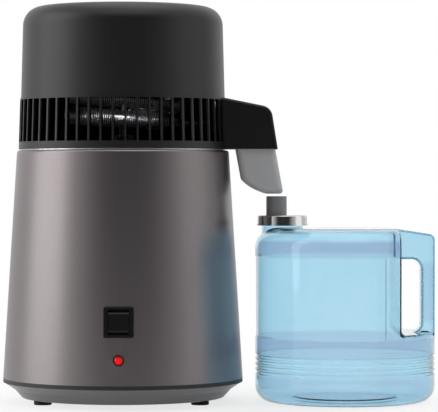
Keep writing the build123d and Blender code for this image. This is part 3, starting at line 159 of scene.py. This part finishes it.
# Finishes, one for each slot of the record; the head's mouldings share one grain
moulded = {"grain": 1900.0, "relief": 0.14, "depth": 0.00015, "mottle": 26.0}
finishes = {
    "case_metal": finish(
        "case_metal", srgb(129, 123, 124), srgb(123, 117, 118), (0.31, 0.38), grain=2600.0, relief=0.05,
        Metallic=1.0,
    ),
    "pan_metal": finish(
        "pan_metal", srgb(142, 142, 143), srgb(132, 132, 133), (0.20, 0.30), grain=1800.0, relief=0.05,
        Metallic=0.9,
    ),
    "trim_plastic": finish(
        "trim_plastic", srgb(24, 24, 25), srgb(30, 30, 31), (0.42, 0.56), relief=0.12, mottle=40.0,
    ),
    "foot_rubber": finish(
        "foot_rubber", srgb(20, 20, 21), srgb(30, 30, 30), (0.68, 0.86), grain=1100.0, relief=0.2, mottle=60.0,
    ),
    "screw_steel": finish(
        "screw_steel", srgb(176, 176, 178), srgb(150, 150, 152), (0.24, 0.40), grain=3000.0, mottle=120.0,
        Metallic=1.0,
    ),
    "stainless": finish(
        "stainless", srgb(226, 226, 227), srgb(216, 216, 218), (0.24, 0.32), grain=2200.0, relief=0.02,
        stretch=(1.0, 1.0, 4.0), Metallic=0.75,
    ),
    "cast_aluminium": finish(
        "cast_aluminium", srgb(176, 176, 178), srgb(150, 150, 154), (0.45, 0.66), grain=700.0, relief=0.3,
        mottle=60.0, Metallic=1.0,
    ),
    "element_metal": finish(
        "element_metal", srgb(110, 104, 98), srgb(84, 78, 74), (0.38, 0.58), grain=900.0, relief=0.15, mottle=80.0,
        Metallic=1.0,
    ),
    "thermostat_body": finish(
        "thermostat_body", srgb(222, 214, 198), srgb(208, 199, 182), (0.45, 0.60), grain=900.0, relief=0.15,
        mottle=120.0,
    ),
    "switch_plastic": finish(
        "switch_plastic", srgb(9, 9, 10), srgb(13, 13, 14), (0.24, 0.36), grain=2400.0, relief=0.05, mottle=90.0,
        Specular_IOR_Level=0.3,
    ),
    "inlet_plastic": finish(
        "inlet_plastic", srgb(22, 22, 23), srgb(30, 30, 31), (0.34, 0.48), grain=1800.0, relief=0.1, mottle=90.0,
    ),
    "brass": finish(
        "brass", srgb(214, 184, 112), srgb(190, 156, 88), (0.20, 0.36), grain=1800.0, mottle=150.0, Metallic=1.0,
    ),
    "silicone": finish(
        "silicone", srgb(226, 226, 222), srgb(212, 212, 208), (0.46, 0.60), grain=900.0, relief=0.08, mottle=60.0,
        Subsurface_Weight=0.15,
    ),
    "head_plastic": finish(
        "head_plastic", srgb(14, 14, 15), srgb(18, 18, 19), (0.34, 0.46), **moulded, Specular_IOR_Level=0.42,
    ),
    "fan_plastic": finish(
        "fan_plastic", srgb(34, 34, 35), srgb(42, 42, 43), (0.34, 0.5), grain=1500.0, relief=0.08, mottle=60.0,
    ),
    "motor_metal": finish(
        "motor_metal", srgb(168, 166, 160), srgb(140, 138, 132), (0.30, 0.5), grain=900.0, relief=0.08, mottle=60.0,
        Metallic=1.0,
    ),
    "nozzle_plastic": finish(
        "nozzle_plastic", srgb(190, 190, 191), srgb(180, 180, 181), (0.30, 0.42), grain=1800.0, relief=0.06,
        mottle=50.0,
    ),
    "sachet_paper": finish(
        "sachet_paper", srgb(236, 233, 224), srgb(216, 211, 198), (0.80, 0.95), grain=1200.0, relief=0.4,
        mottle=300.0,
    ),
    "spigot_metal": finish(
        "spigot_metal", srgb(146, 146, 149), srgb(134, 134, 137), (0.42, 0.54), grain=500.0, relief=0.06,
        stretch=(1.0, 1.0, 10.0), Metallic=0.12,
    ),
}


def lamp_finish():
    """A red signal lens, lit from behind, darker towards its rim."""
    made, tree, shader = new_material("lamp_red", Roughness=0.18, Transmission_Weight=0.35, IOR=1.49)
    low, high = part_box("lamp_lens")
    middle = (low + high) / 2
    core_radius = 0.0012
    place = object_point(tree)
    off = add(tree, "VectorMath", {"operation": "SUBTRACT"})
    put(tree, off.inputs[0], place)
    off.inputs[1].default_value = (middle.x, low.y, middle.z)
    rim = ramp(tree, length_of(tree, off.outputs[0]), core_radius, (high.z - low.z) / 2)
    grain = add(tree, "TexNoise", Vector=place, Scale=900.0, Detail=2.0)
    soft = math_node(tree, "MULTIPLY_ADD", grain.outputs[0], 0.2, rim)
    tone = mix_colour(tree, soft, srgb(252, 10, 14), srgb(110, 4, 5))
    put(tree, shader.inputs["Base Color"], tone)
    put(tree, shader.inputs["Emission Color"], tone)
    shader.inputs["Emission Strength"].default_value = 0.9
    return made


def span_mask(tree, value, low, high, soft=0.0012):
    """1 between two values and 0 outside them, soft at both ends."""
    rise = ramp(tree, value, low - soft, low + soft)
    fall = ramp(tree, value, high - soft, high + soft)
    return math_node(tree, "SUBTRACT", rise, fall)


# Places of the jug's darker blue bands, painted reflections of its surroundings, and of its darker grip, in the
# shared frame
top_painted_band_z = (0.132, 0.1455)
middle_painted_band_z = (0.042, 0.059)
low_painted_band_z = (0.008, 0.024)
grip_z = (0.072, 0.1255)
painted_band_end_x = 0.163
grip_start_x = 0.1825
far_x = (-1.0, 0.3)
grip_soft = 0.003
low_band_share = 0.5
grip_share = 0.45


def jug_finish():
    """Clear pale-blue moulded plastic, with darker blue bands painted as reflections, darker on its grip, and a
    faint ripple from its mould.
    """
    made, tree, shader = new_material(
        "jug_plastic", Transmission_Weight=1.0, IOR=1.18, Roughness=0.08, Coat_Weight=0.5, Coat_IOR=1.45,
        Coat_Roughness=0.03,
    )
    place = stretched_point(tree)
    ripple = add(tree, "TexNoise", Vector=place, Scale=55.0, Detail=2.0, Roughness=0.5)
    speckle = add(tree, "TexNoise", Vector=place, Scale=420.0, Detail=2.0, Roughness=0.6)
    tone = mix_colour(tree, ripple.outputs[0], srgb(225, 243, 250), srgb(217, 239, 249))
    way = add(tree, "SeparateXYZ", Vector=place)
    x, z = way.outputs["X"], way.outputs["Z"]
    top = math_node(tree, "MULTIPLY", span_mask(tree, z, *top_painted_band_z), span_mask(tree, x, far_x[0], painted_band_end_x))
    middle = span_mask(tree, z, *middle_painted_band_z)
    low = math_node(tree, "MULTIPLY", span_mask(tree, z, *low_painted_band_z), low_band_share)
    handle = math_node(
        tree, "MULTIPLY", span_mask(tree, x, grip_start_x, far_x[1]), span_mask(tree, z, *grip_z, grip_soft),
    )
    grip = math_node(tree, "MULTIPLY", handle, grip_share)
    # The three bands are painted reflections; the grip is darker.
    painted_bands = math_node(tree, "MAXIMUM", top, middle)
    bands_and_darker_grip = math_node(tree, "MAXIMUM", painted_bands, math_node(tree, "MAXIMUM", low, grip))
    put(tree, shader.inputs["Base Color"], mix_colour(tree, bands_and_darker_grip, tone, srgb(208, 223, 237)))
    height = math_node(tree, "MULTIPLY_ADD", speckle.outputs[0], 0.06, ripple.outputs[0])
    bump = add(tree, "Bump", Strength=0.12, Distance=0.0006, Height=height)
    put(tree, shader.inputs["Normal"], bump.outputs[0])
    body = add(tree, "VolumeAbsorption", Color=(0.02, 0.56, 0.75, 1.0), Density=60.0)
    tree.links.new(body.outputs[0], tree.nodes["Material Output"].inputs["Volume"])
    return made


def cap_finish():
    """Polished metal, satin on its flat top, with a darker tone on the top as painted shade."""
    made = finish(
        "cap_metal", srgb(228, 227, 227), srgb(218, 217, 217), (0.05, 0.10), grain=2200.0, relief=0.03, mottle=70.0,
        Metallic=1.0,
    )
    tree, shader, tone = opened(made)
    facing = tree.nodes.new("ShaderNodeNewGeometry")
    way = add(tree, "SeparateXYZ", Vector=facing.outputs["Normal"])
    top = ramp(tree, way.outputs["Z"], 0.8, 0.95)
    polish = shader.inputs["Roughness"].links[0].from_socket
    put(tree, shader.inputs["Roughness"], math_node(tree, "MULTIPLY_ADD", top, 0.32, polish))
    # The upward face gets a darker tone: painted shade under the top lamp.
    put(tree, shader.inputs["Base Color"], mix_colour(tree, top, tone, srgb(168, 168, 169)))
    return made


finishes["cap_metal"] = cap_finish()
finishes["lamp_red"] = lamp_finish()
finishes["jug_plastic"] = jug_finish()

for entry in frame["record"]["subparts"]:
    shown = nodes[entry["node"]].data
    shown.materials.clear()
    shown.materials.append(finishes[entry["material_slot"]])


unit_x = (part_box("outer_case")[0].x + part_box("outer_case")[1].x) / 2


def axis_distance(tree):
    """Distance from the unit's axis."""
    way = add(tree, "SeparateXYZ", Vector=object_point(tree))
    off = add(tree, "CombineXYZ", X=math_node(tree, "SUBTRACT", way.outputs["X"], unit_x), Y=way.outputs["Y"])
    return length_of(tree, off.outputs[0])


def vent_finish():
    """The head's plastic, with the sides of the slats and the inside of the ring painted near-black and without
    gloss as painted shade.
    """
    made = finish("vent_plastic_painted_shade", srgb(14, 14, 15), srgb(18, 18, 19), (0.34, 0.46), **moulded)
    tree, shader, tone = opened(made)
    low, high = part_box("vent_ring")
    taper = 0.052
    face = (high.x - low.x) / 2 + taper * low.z
    way = add(tree, "SeparateXYZ", Vector=object_point(tree))
    slope = math_node(tree, "MULTIPLY_ADD", way.outputs["Z"], taper, axis_distance(tree))
    # Off the ring's outer face, the slats' sides get a near-black tone and no gloss: painted shade.
    outer_face_unshaded = ramp(tree, slope, face - 0.0016, face - 0.0008)
    put(tree, shader.inputs["Specular IOR Level"], math_node(tree, "MULTIPLY", outer_face_unshaded, 0.42))
    put(tree, shader.inputs["Base Color"], mix_colour(tree, outer_face_unshaded, srgb(5, 5, 5), tone))
    return made


def coil_finish():
    """Steel tube darkened as painted shade of the head's inside, and near-black on the riser inside the turns, also
    painted shade.
    """
    made = finish(
        "coil_metal_painted_shade", srgb(66, 66, 68), srgb(52, 52, 54), (0.24, 0.38), grain=2200.0, mottle=70.0, Metallic=1.0,
    )
    tree, shader, tone = opened(made)
    # The riser inside the turns gets a near-black tone: painted shade.
    turns = ramp(tree, axis_distance(tree), 0.034, 0.038)
    put(tree, shader.inputs["Base Color"], mix_colour(tree, turns, srgb(12, 12, 13), tone))
    return made


# Finishes of single nodes that differ from the rest of their slot
own_finishes = {
    # A darker, less glossy copy of the head's plastic: painted shade on the hood.
    "spout_hood": finish(
        "hood_plastic_painted_shade", srgb(11, 11, 12), srgb(15, 15, 16), (0.36, 0.48), **moulded, Specular_IOR_Level=0.24,
    ),
    "vent_ring": vent_finish(),
    # Near-black and duller than the head's plastic: painted shade for the head's inside seen between the slats.
    "rear_baffle": finish(
        "baffle_plastic_painted_shade", srgb(8, 8, 8), srgb(11, 11, 11), (0.6, 0.75), relief=0.14, mottle=26.0,
        Specular_IOR_Level=0.12,
    ),
    "condenser_coil": coil_finish(),
    "lamp_holder": finish(
        "lamp_rim", srgb(98, 4, 6), srgb(82, 3, 5), (0.2, 0.3), grain=2400.0, relief=0.05, mottle=90.0,
    ),
    # Dark steel: painted shade of the head's inside.
    "port_nut": finish(
        "nut_metal_painted_shade", srgb(60, 60, 62), srgb(48, 48, 50), (0.34, 0.48), grain=2200.0, mottle=70.0, Metallic=1.0,
    ),
}
for node, own in own_finishes.items():
    nodes[node].data.materials.clear()
    nodes[node].data.materials.append(own)


# Pieces
def piece(name, bm, body, slot, made=None, smooth=True):
    """A mesh piece that rides on a body and wears a slot's finish."""
    mesh = bpy.data.meshes.new(name)
    bmesh.ops.recalc_face_normals(bm, faces=bm.faces)
    bm.to_mesh(mesh)
    bm.free()
    if smooth:
        mesh.shade_smooth()
    mesh.materials.append(made or finishes[slot])
    shown = bpy.data.objects.new(name, mesh)
    bpy.context.scene.collection.objects.link(shown)
    if body:
        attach(shown, body)
    return shown


def ring_of(bm, centre, along, radius, sides):
    """A ring of points round a line."""
    across = along.orthogonal().normalized()
    third = along.cross(across).normalized()
    points = []
    for step in range(sides):
        angle = 2 * math.pi * step / sides
        off = across * (radius * math.cos(angle)) + third * (radius * math.sin(angle))
        points.append(bm.verts.new(centre + off))
    return points


def bridge(bm, first, second, smooth=False):
    """A band of faces between two rings."""
    count = len(first)
    for step in range(count):
        after = (step + 1) % count
        bm.faces.new((first[step], first[after], second[after], second[step])).smooth = smooth


# Cooling fins on the condenser's turns, which follow the solid coil's path
coil_radius = 0.046
coil_bend = 0.013
coil_high_z = 0.29465
coil_low_z = 0.2534
coil_turn = 2.5 * 2 * math.pi
coil_exit = -math.asin(coil_bend / (coil_radius + coil_bend))
coil_ease = 0.1
fin_pitch = 0.0016
fin_inner = 0.0040
fin_outer = 0.0077
fin_half = 0.00034
fin_sides = 28
fin_free_ends = 12
fin_sight = 0.01


def coil_point(angle):
    """A point on the turns, by its angle from their start, level at both ends."""
    share = angle / coil_turn
    if share < coil_ease:
        drop = share * share / (2 * coil_ease)
    elif share > 1 - coil_ease:
        drop = 1 - coil_ease - (1 - share) ** 2 / (2 * coil_ease)
    else:
        drop = share - coil_ease / 2
    turn = coil_exit - coil_turn + angle
    z = coil_high_z + (coil_low_z - coil_high_z) * drop / (1 - coil_ease)
    return Vector((unit_x + coil_radius * math.cos(turn), coil_radius * math.sin(turn), z))


# Darkened steel for the fins: painted shade of the head's inside.
fin_finish = finish(
    "fin_metal_painted_shade", srgb(96, 96, 98), srgb(84, 84, 86), (0.36, 0.44), grain=2400.0, relief=0.02, mottle=90.0,
    Metallic=1.0,
)


def coil_fins():
    """Thin closed discs round the tube, left off near both ends of the turns."""
    bm = bmesh.new()
    count = int(coil_turn * coil_radius / fin_pitch)
    for step in range(fin_free_ends, count - fin_free_ends):
        angle = coil_turn * step / count
        centre = coil_point(angle)
        along = (coil_point(angle + fin_sight) - coil_point(angle - fin_sight)).normalized()
        edge = along * fin_half
        rings = [
            ring_of(bm, centre - edge, along, fin_inner, fin_sides),
            ring_of(bm, centre - edge, along, fin_outer, fin_sides),
            ring_of(bm, centre + edge, along, fin_outer, fin_sides),
            ring_of(bm, centre + edge, along, fin_inner, fin_sides),
        ]
        bridge(bm, rings[0], rings[1])
        bridge(bm, rings[1], rings[2], smooth=True)
        bridge(bm, rings[2], rings[3])
        bridge(bm, rings[3], rings[0])
    piece("coil_fins", bm, "head", "stainless", fin_finish, smooth=False)


coil_fins()


# Sleeve of the fan's lead, up the inside of the ring at the end of the baffle
sleeve_x = 0.0795
sleeve_y = 0.0150
sleeve_radius = 0.0030
sleeve_rib = 0.00018
sleeve_steps = 60
sleeve_sides = 24


def lead_sleeve():
    """A ribbed tube from the ledge to the plate."""
    foot = Vector((unit_x + sleeve_x, sleeve_y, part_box("rear_baffle")[0].z))
    rise = Vector((0, 0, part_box("rear_baffle")[1].z - foot.z))
    bm = bmesh.new()
    rings = []
    for step in range(sleeve_steps + 1):
        radius = sleeve_radius + sleeve_rib * math.sin(step * math.pi / 2)
        rings.append(ring_of(bm, foot + rise * (step / sleeve_steps), Vector((0, 0, 1)), radius, sleeve_sides))
    for first, second in zip(rings, rings[1:]):
        bridge(bm, first, second)
    bm.faces.new(rings[0])
    bm.faces.new(rings[-1])
    # Wears the baffle's near-black finish: painted shade.
    piece("lead_sleeve", bm, "head", "head_plastic", own_finishes["rear_baffle"])


lead_sleeve()


# Carbon sachet in the nozzle: a small paper pillow with crimped ends
sachet_steps = 28
sachet_crown = 0.84
sachet_rim = 0.06
sachet_crease = 0.10
sachet_pull = (0.10, 0.06)


def sachet_pillow():
    """Two creased sheets, crowned in the middle, drawn in at the sides and joined at the rim."""
    low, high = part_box("carbon_sachet")
    middle = (low + high) / 2
    half = (high - low) / 2
    bm = bmesh.new()
    steps = sachet_steps
    sheets = []
    for side in (1, -1):
        rows = []
        for i in range(steps + 1):
            u = 2 * i / steps - 1
            row = []
            for j in range(steps + 1):
                v = 2 * j / steps - 1
                crown = ((1 - u * u) * (1 - v * v)) ** 0.45
                crease = sachet_crease * math.sin(9 * u + 2.5 * v) * math.sin(7 * v - 1.5 * u) * crown
                pull = 1 - sachet_pull[0] * (1 - u * u) * abs(v) - sachet_pull[1] * (1 - v * v) * abs(u)
                away = side * half.y * (sachet_rim + sachet_crown * crown + crease * side)
                row.append(bm.verts.new(middle + Vector((half.x * u * pull, away, half.z * v * pull))))
            rows.append(row)
        sheets.append(rows)
        for i in range(steps):
            for j in range(steps):
                bm.faces.new((rows[i][j], rows[i + 1][j], rows[i + 1][j + 1], rows[i][j + 1]))
    rims = []
    for rows in sheets:
        rims.append(
            [rows[i][0] for i in range(steps)] + [rows[steps][j] for j in range(steps)]
            + [rows[i][steps] for i in range(steps, 0, -1)] + [rows[0][j] for j in range(steps, 0, -1)]
        )
    bridge(bm, rims[0], rims[1])
    shown = piece("sachet_pillow", bm, "head", "sachet_paper")
    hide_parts("carbon_sachet")


sachet_pillow()


# Switch spring, seated in its housing against the button
weld_gap = 1e-6


def press_spring():
    """The solid spring's own mesh, with one end on the base and the other on the button."""
    bm = bmesh.new()
    bm.from_mesh(nodes["switch_spring"].data)
    bmesh.ops.remove_doubles(bm, verts=bm.verts, dist=weld_gap)
    shown = piece("press_spring", bm, None, "screw_steel")
    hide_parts("switch_spring")
    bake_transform(shown)


press_spring()


# Stage: floor, background, lights and camera
white = (1.0, 1.0, 1.0, 1.0)
floor_reach = 12.0
floor_steps = 12
floor_z = -0.0002
veil_near = 0.12
veil_far = 0.36
veil_share = 0.74
floor_mirrored = 0.35


def stage_mesh(name, bm, made):
    """A stage object with its material, kept out of the object's box."""
    mesh = bpy.data.meshes.new(name)
    bm.to_mesh(mesh)
    bm.free()
    mesh.materials.append(made)
    shown = bpy.data.objects.new(name, mesh)
    bpy.context.scene.collection.objects.link(shown)
    return shown


def sheet(bm, rows):
    """Faces between neighbouring rows of points."""
    for first, second in zip(rows, rows[1:]):
        for low in range(len(first) - 1):
            bm.faces.new((first[low], second[low], second[low + 1], first[low + 1]))


def blended(tree, share, first, second, output):
    """The first shader at 0 and the second at 1, as the tree's surface."""
    joined = add(tree, "MixShader", Fac=share)
    tree.links.new(first.outputs[0], joined.inputs[1])
    tree.links.new(second.outputs[0], joined.inputs[2])
    tree.links.new(joined.outputs[0], tree.nodes[output].inputs["Surface"])


def seen_ray(tree, mirrored=1.0):
    """1 for what the camera sees, straight or through clear plastic, and a share for what it sees mirrored."""
    path = tree.nodes.new("ShaderNodeLightPath").outputs
    straight = math_node(tree, "MAXIMUM", path["Is Camera Ray"], path["Is Transmission Ray"])
    return math_node(tree, "MAXIMUM", straight, math_node(tree, "MULTIPLY", path["Is Glossy Ray"], mirrored))


def stage_floor():
    """A pale floor that turns to white away from the object and keeps its shadow near it."""
    made, tree, shader = new_material("floor", Roughness=0.9, Specular_IOR_Level=0.0)
    speck = add(tree, "TexNoise", Scale=40.0, Detail=3.0)
    tone = mix_colour(tree, speck.outputs[0], srgb(236, 236, 236), srgb(240, 240, 240))
    put(tree, shader.inputs["Base Color"], tone)
    glow = add(tree, "Emission", Color=white, Strength=1.0)
    veil = ramp(tree, length_of(tree, object_point(tree)), veil_near, veil_far, first=veil_share)
    share = math_node(tree, "MULTIPLY", seen_ray(tree, floor_mirrored), veil)
    blended(tree, share, shader, glow, "Material Output")
    bm = bmesh.new()
    places = [floor_reach * (2 * step / floor_steps - 1) for step in range(floor_steps + 1)]
    sheet(bm, [[bm.verts.new((x, y, floor_z)) for y in places] for x in places])
    stage_mesh("floor", bm, made)


card_reach = 3.0
card_steps = 24
card_angles = (math.radians(-62), math.radians(125))
card_heights = (-0.02, 1.2, 2.4)


def front_card():
    """A curved card in front, dark in its middle, that only shows in what the metal and plastic mirror."""
    made, tree, _ = new_material("front_card")
    way = add(tree, "SeparateXYZ", Vector=object_point(tree))
    eased = {"interpolation_type": "SMOOTHSTEP"}
    left = ramp(tree, way.outputs["X"], -0.9, -2.65, eased, first=0.02, last=0.75)
    right = ramp(tree, way.outputs["X"], 1.3, 3.0, eased, first=0.0, last=0.62)
    glow = add(tree, "Emission", Color=white, Strength=math_node(tree, "ADD", left, right))
    tree.links.new(glow.outputs[0], tree.nodes["Material Output"].inputs["Surface"])
    bm = bmesh.new()
    rows = []
    for step in range(card_steps + 1):
        angle = card_angles[0] + (card_angles[1] - card_angles[0]) * step / card_steps
        foot = (card_reach * math.sin(angle), -card_reach * math.cos(angle))
        rows.append([bm.verts.new((*foot, z)) for z in card_heights])
    sheet(bm, rows)
    card = stage_mesh("front_card", bm, made)
    for ray in ("camera", "diffuse", "transmission", "shadow", "volume_scatter"):
        setattr(card, "visible_" + ray, False)


def studio_world():
    """White to the eye, and a dimmer front for the light that falls on the object."""
    world = bpy.data.worlds.new("studio")
    bpy.context.scene.world = world
    world.use_nodes = True
    tree = world.node_tree
    ground = tree.nodes["Background"]
    ground.inputs["Color"].default_value = white
    place = tree.nodes.new("ShaderNodeTexCoord")
    way = add(tree, "SeparateXYZ", Vector=place.outputs["Generated"])
    front = ramp(tree, way.outputs["Y"], -0.75, 0.7, first=0.03, last=0.85)
    above = math_node(tree, "MAXIMUM", way.outputs["Z"], 0.0)
    put(tree, ground.inputs["Strength"], math_node(tree, "MULTIPLY_ADD", above, 0.30, front))
    seen = add(tree, "Background", Color=white, Strength=1.0)
    blended(tree, seen_ray(tree), ground, seen, "World Output")


def softbox(name, place, aim, width, height, radiance, spread=180.0):
    """A flat lamp at a place, turned to its aim, that the camera doesn't see."""
    light = bpy.data.lights.new(name, "AREA")
    light.shape = "RECTANGLE"
    light.size = width
    light.size_y = height
    light.energy = radiance * math.pi * width * height
    light.spread = math.radians(spread)
    shown = bpy.data.objects.new(name, light)
    shown.location = place
    shown.rotation_euler = (Vector(aim) - Vector(place)).to_track_quat("-Z", "Y").to_euler()
    shown.visible_camera = False
    bpy.context.scene.collection.objects.link(shown)


stage_floor()
front_card()
studio_world()
coil_lit_z = 0.2595
case_middle = (unit_x, 0, 0.2)
object_middle = (0, 0, 0.1)
softbox("key_left", (-2.0, -0.30, 0.85), case_middle, 1.7, 1.9, 1.8)
softbox("fill_right", (2.2, -0.35, 0.85), case_middle, 1.5, 1.9, 0.42)
softbox("top", (0.1, 0.2, 2.2), object_middle, 1.8, 1.4, 1.2)
softbox("coil_strip", (unit_x, -0.080, coil_lit_z), (unit_x, 0, coil_lit_z), 0.064, 0.010, 7.0, 26.0)
softbox("front_top", (0.2, -1.5, 2.3), object_middle, 1.8, 0.8, 0.95)

eye = Vector((0.0, -2.272, 0.1983))
aim = Vector((0.0, 0.0, 0.177))
camera = bpy.data.cameras.new("camera")
camera.sensor_width = 36.0
camera.lens = 205.6
camera.clip_end = 60.0
seat = bpy.data.objects.new("camera", camera)
seat.location = eye
seat.rotation_euler = (aim - eye).to_track_quat("-Z", "Y").to_euler()
bpy.context.scene.collection.objects.link(seat)
bpy.context.scene.camera = seat
bpy.context.scene.view_settings.view_transform = "Standard"
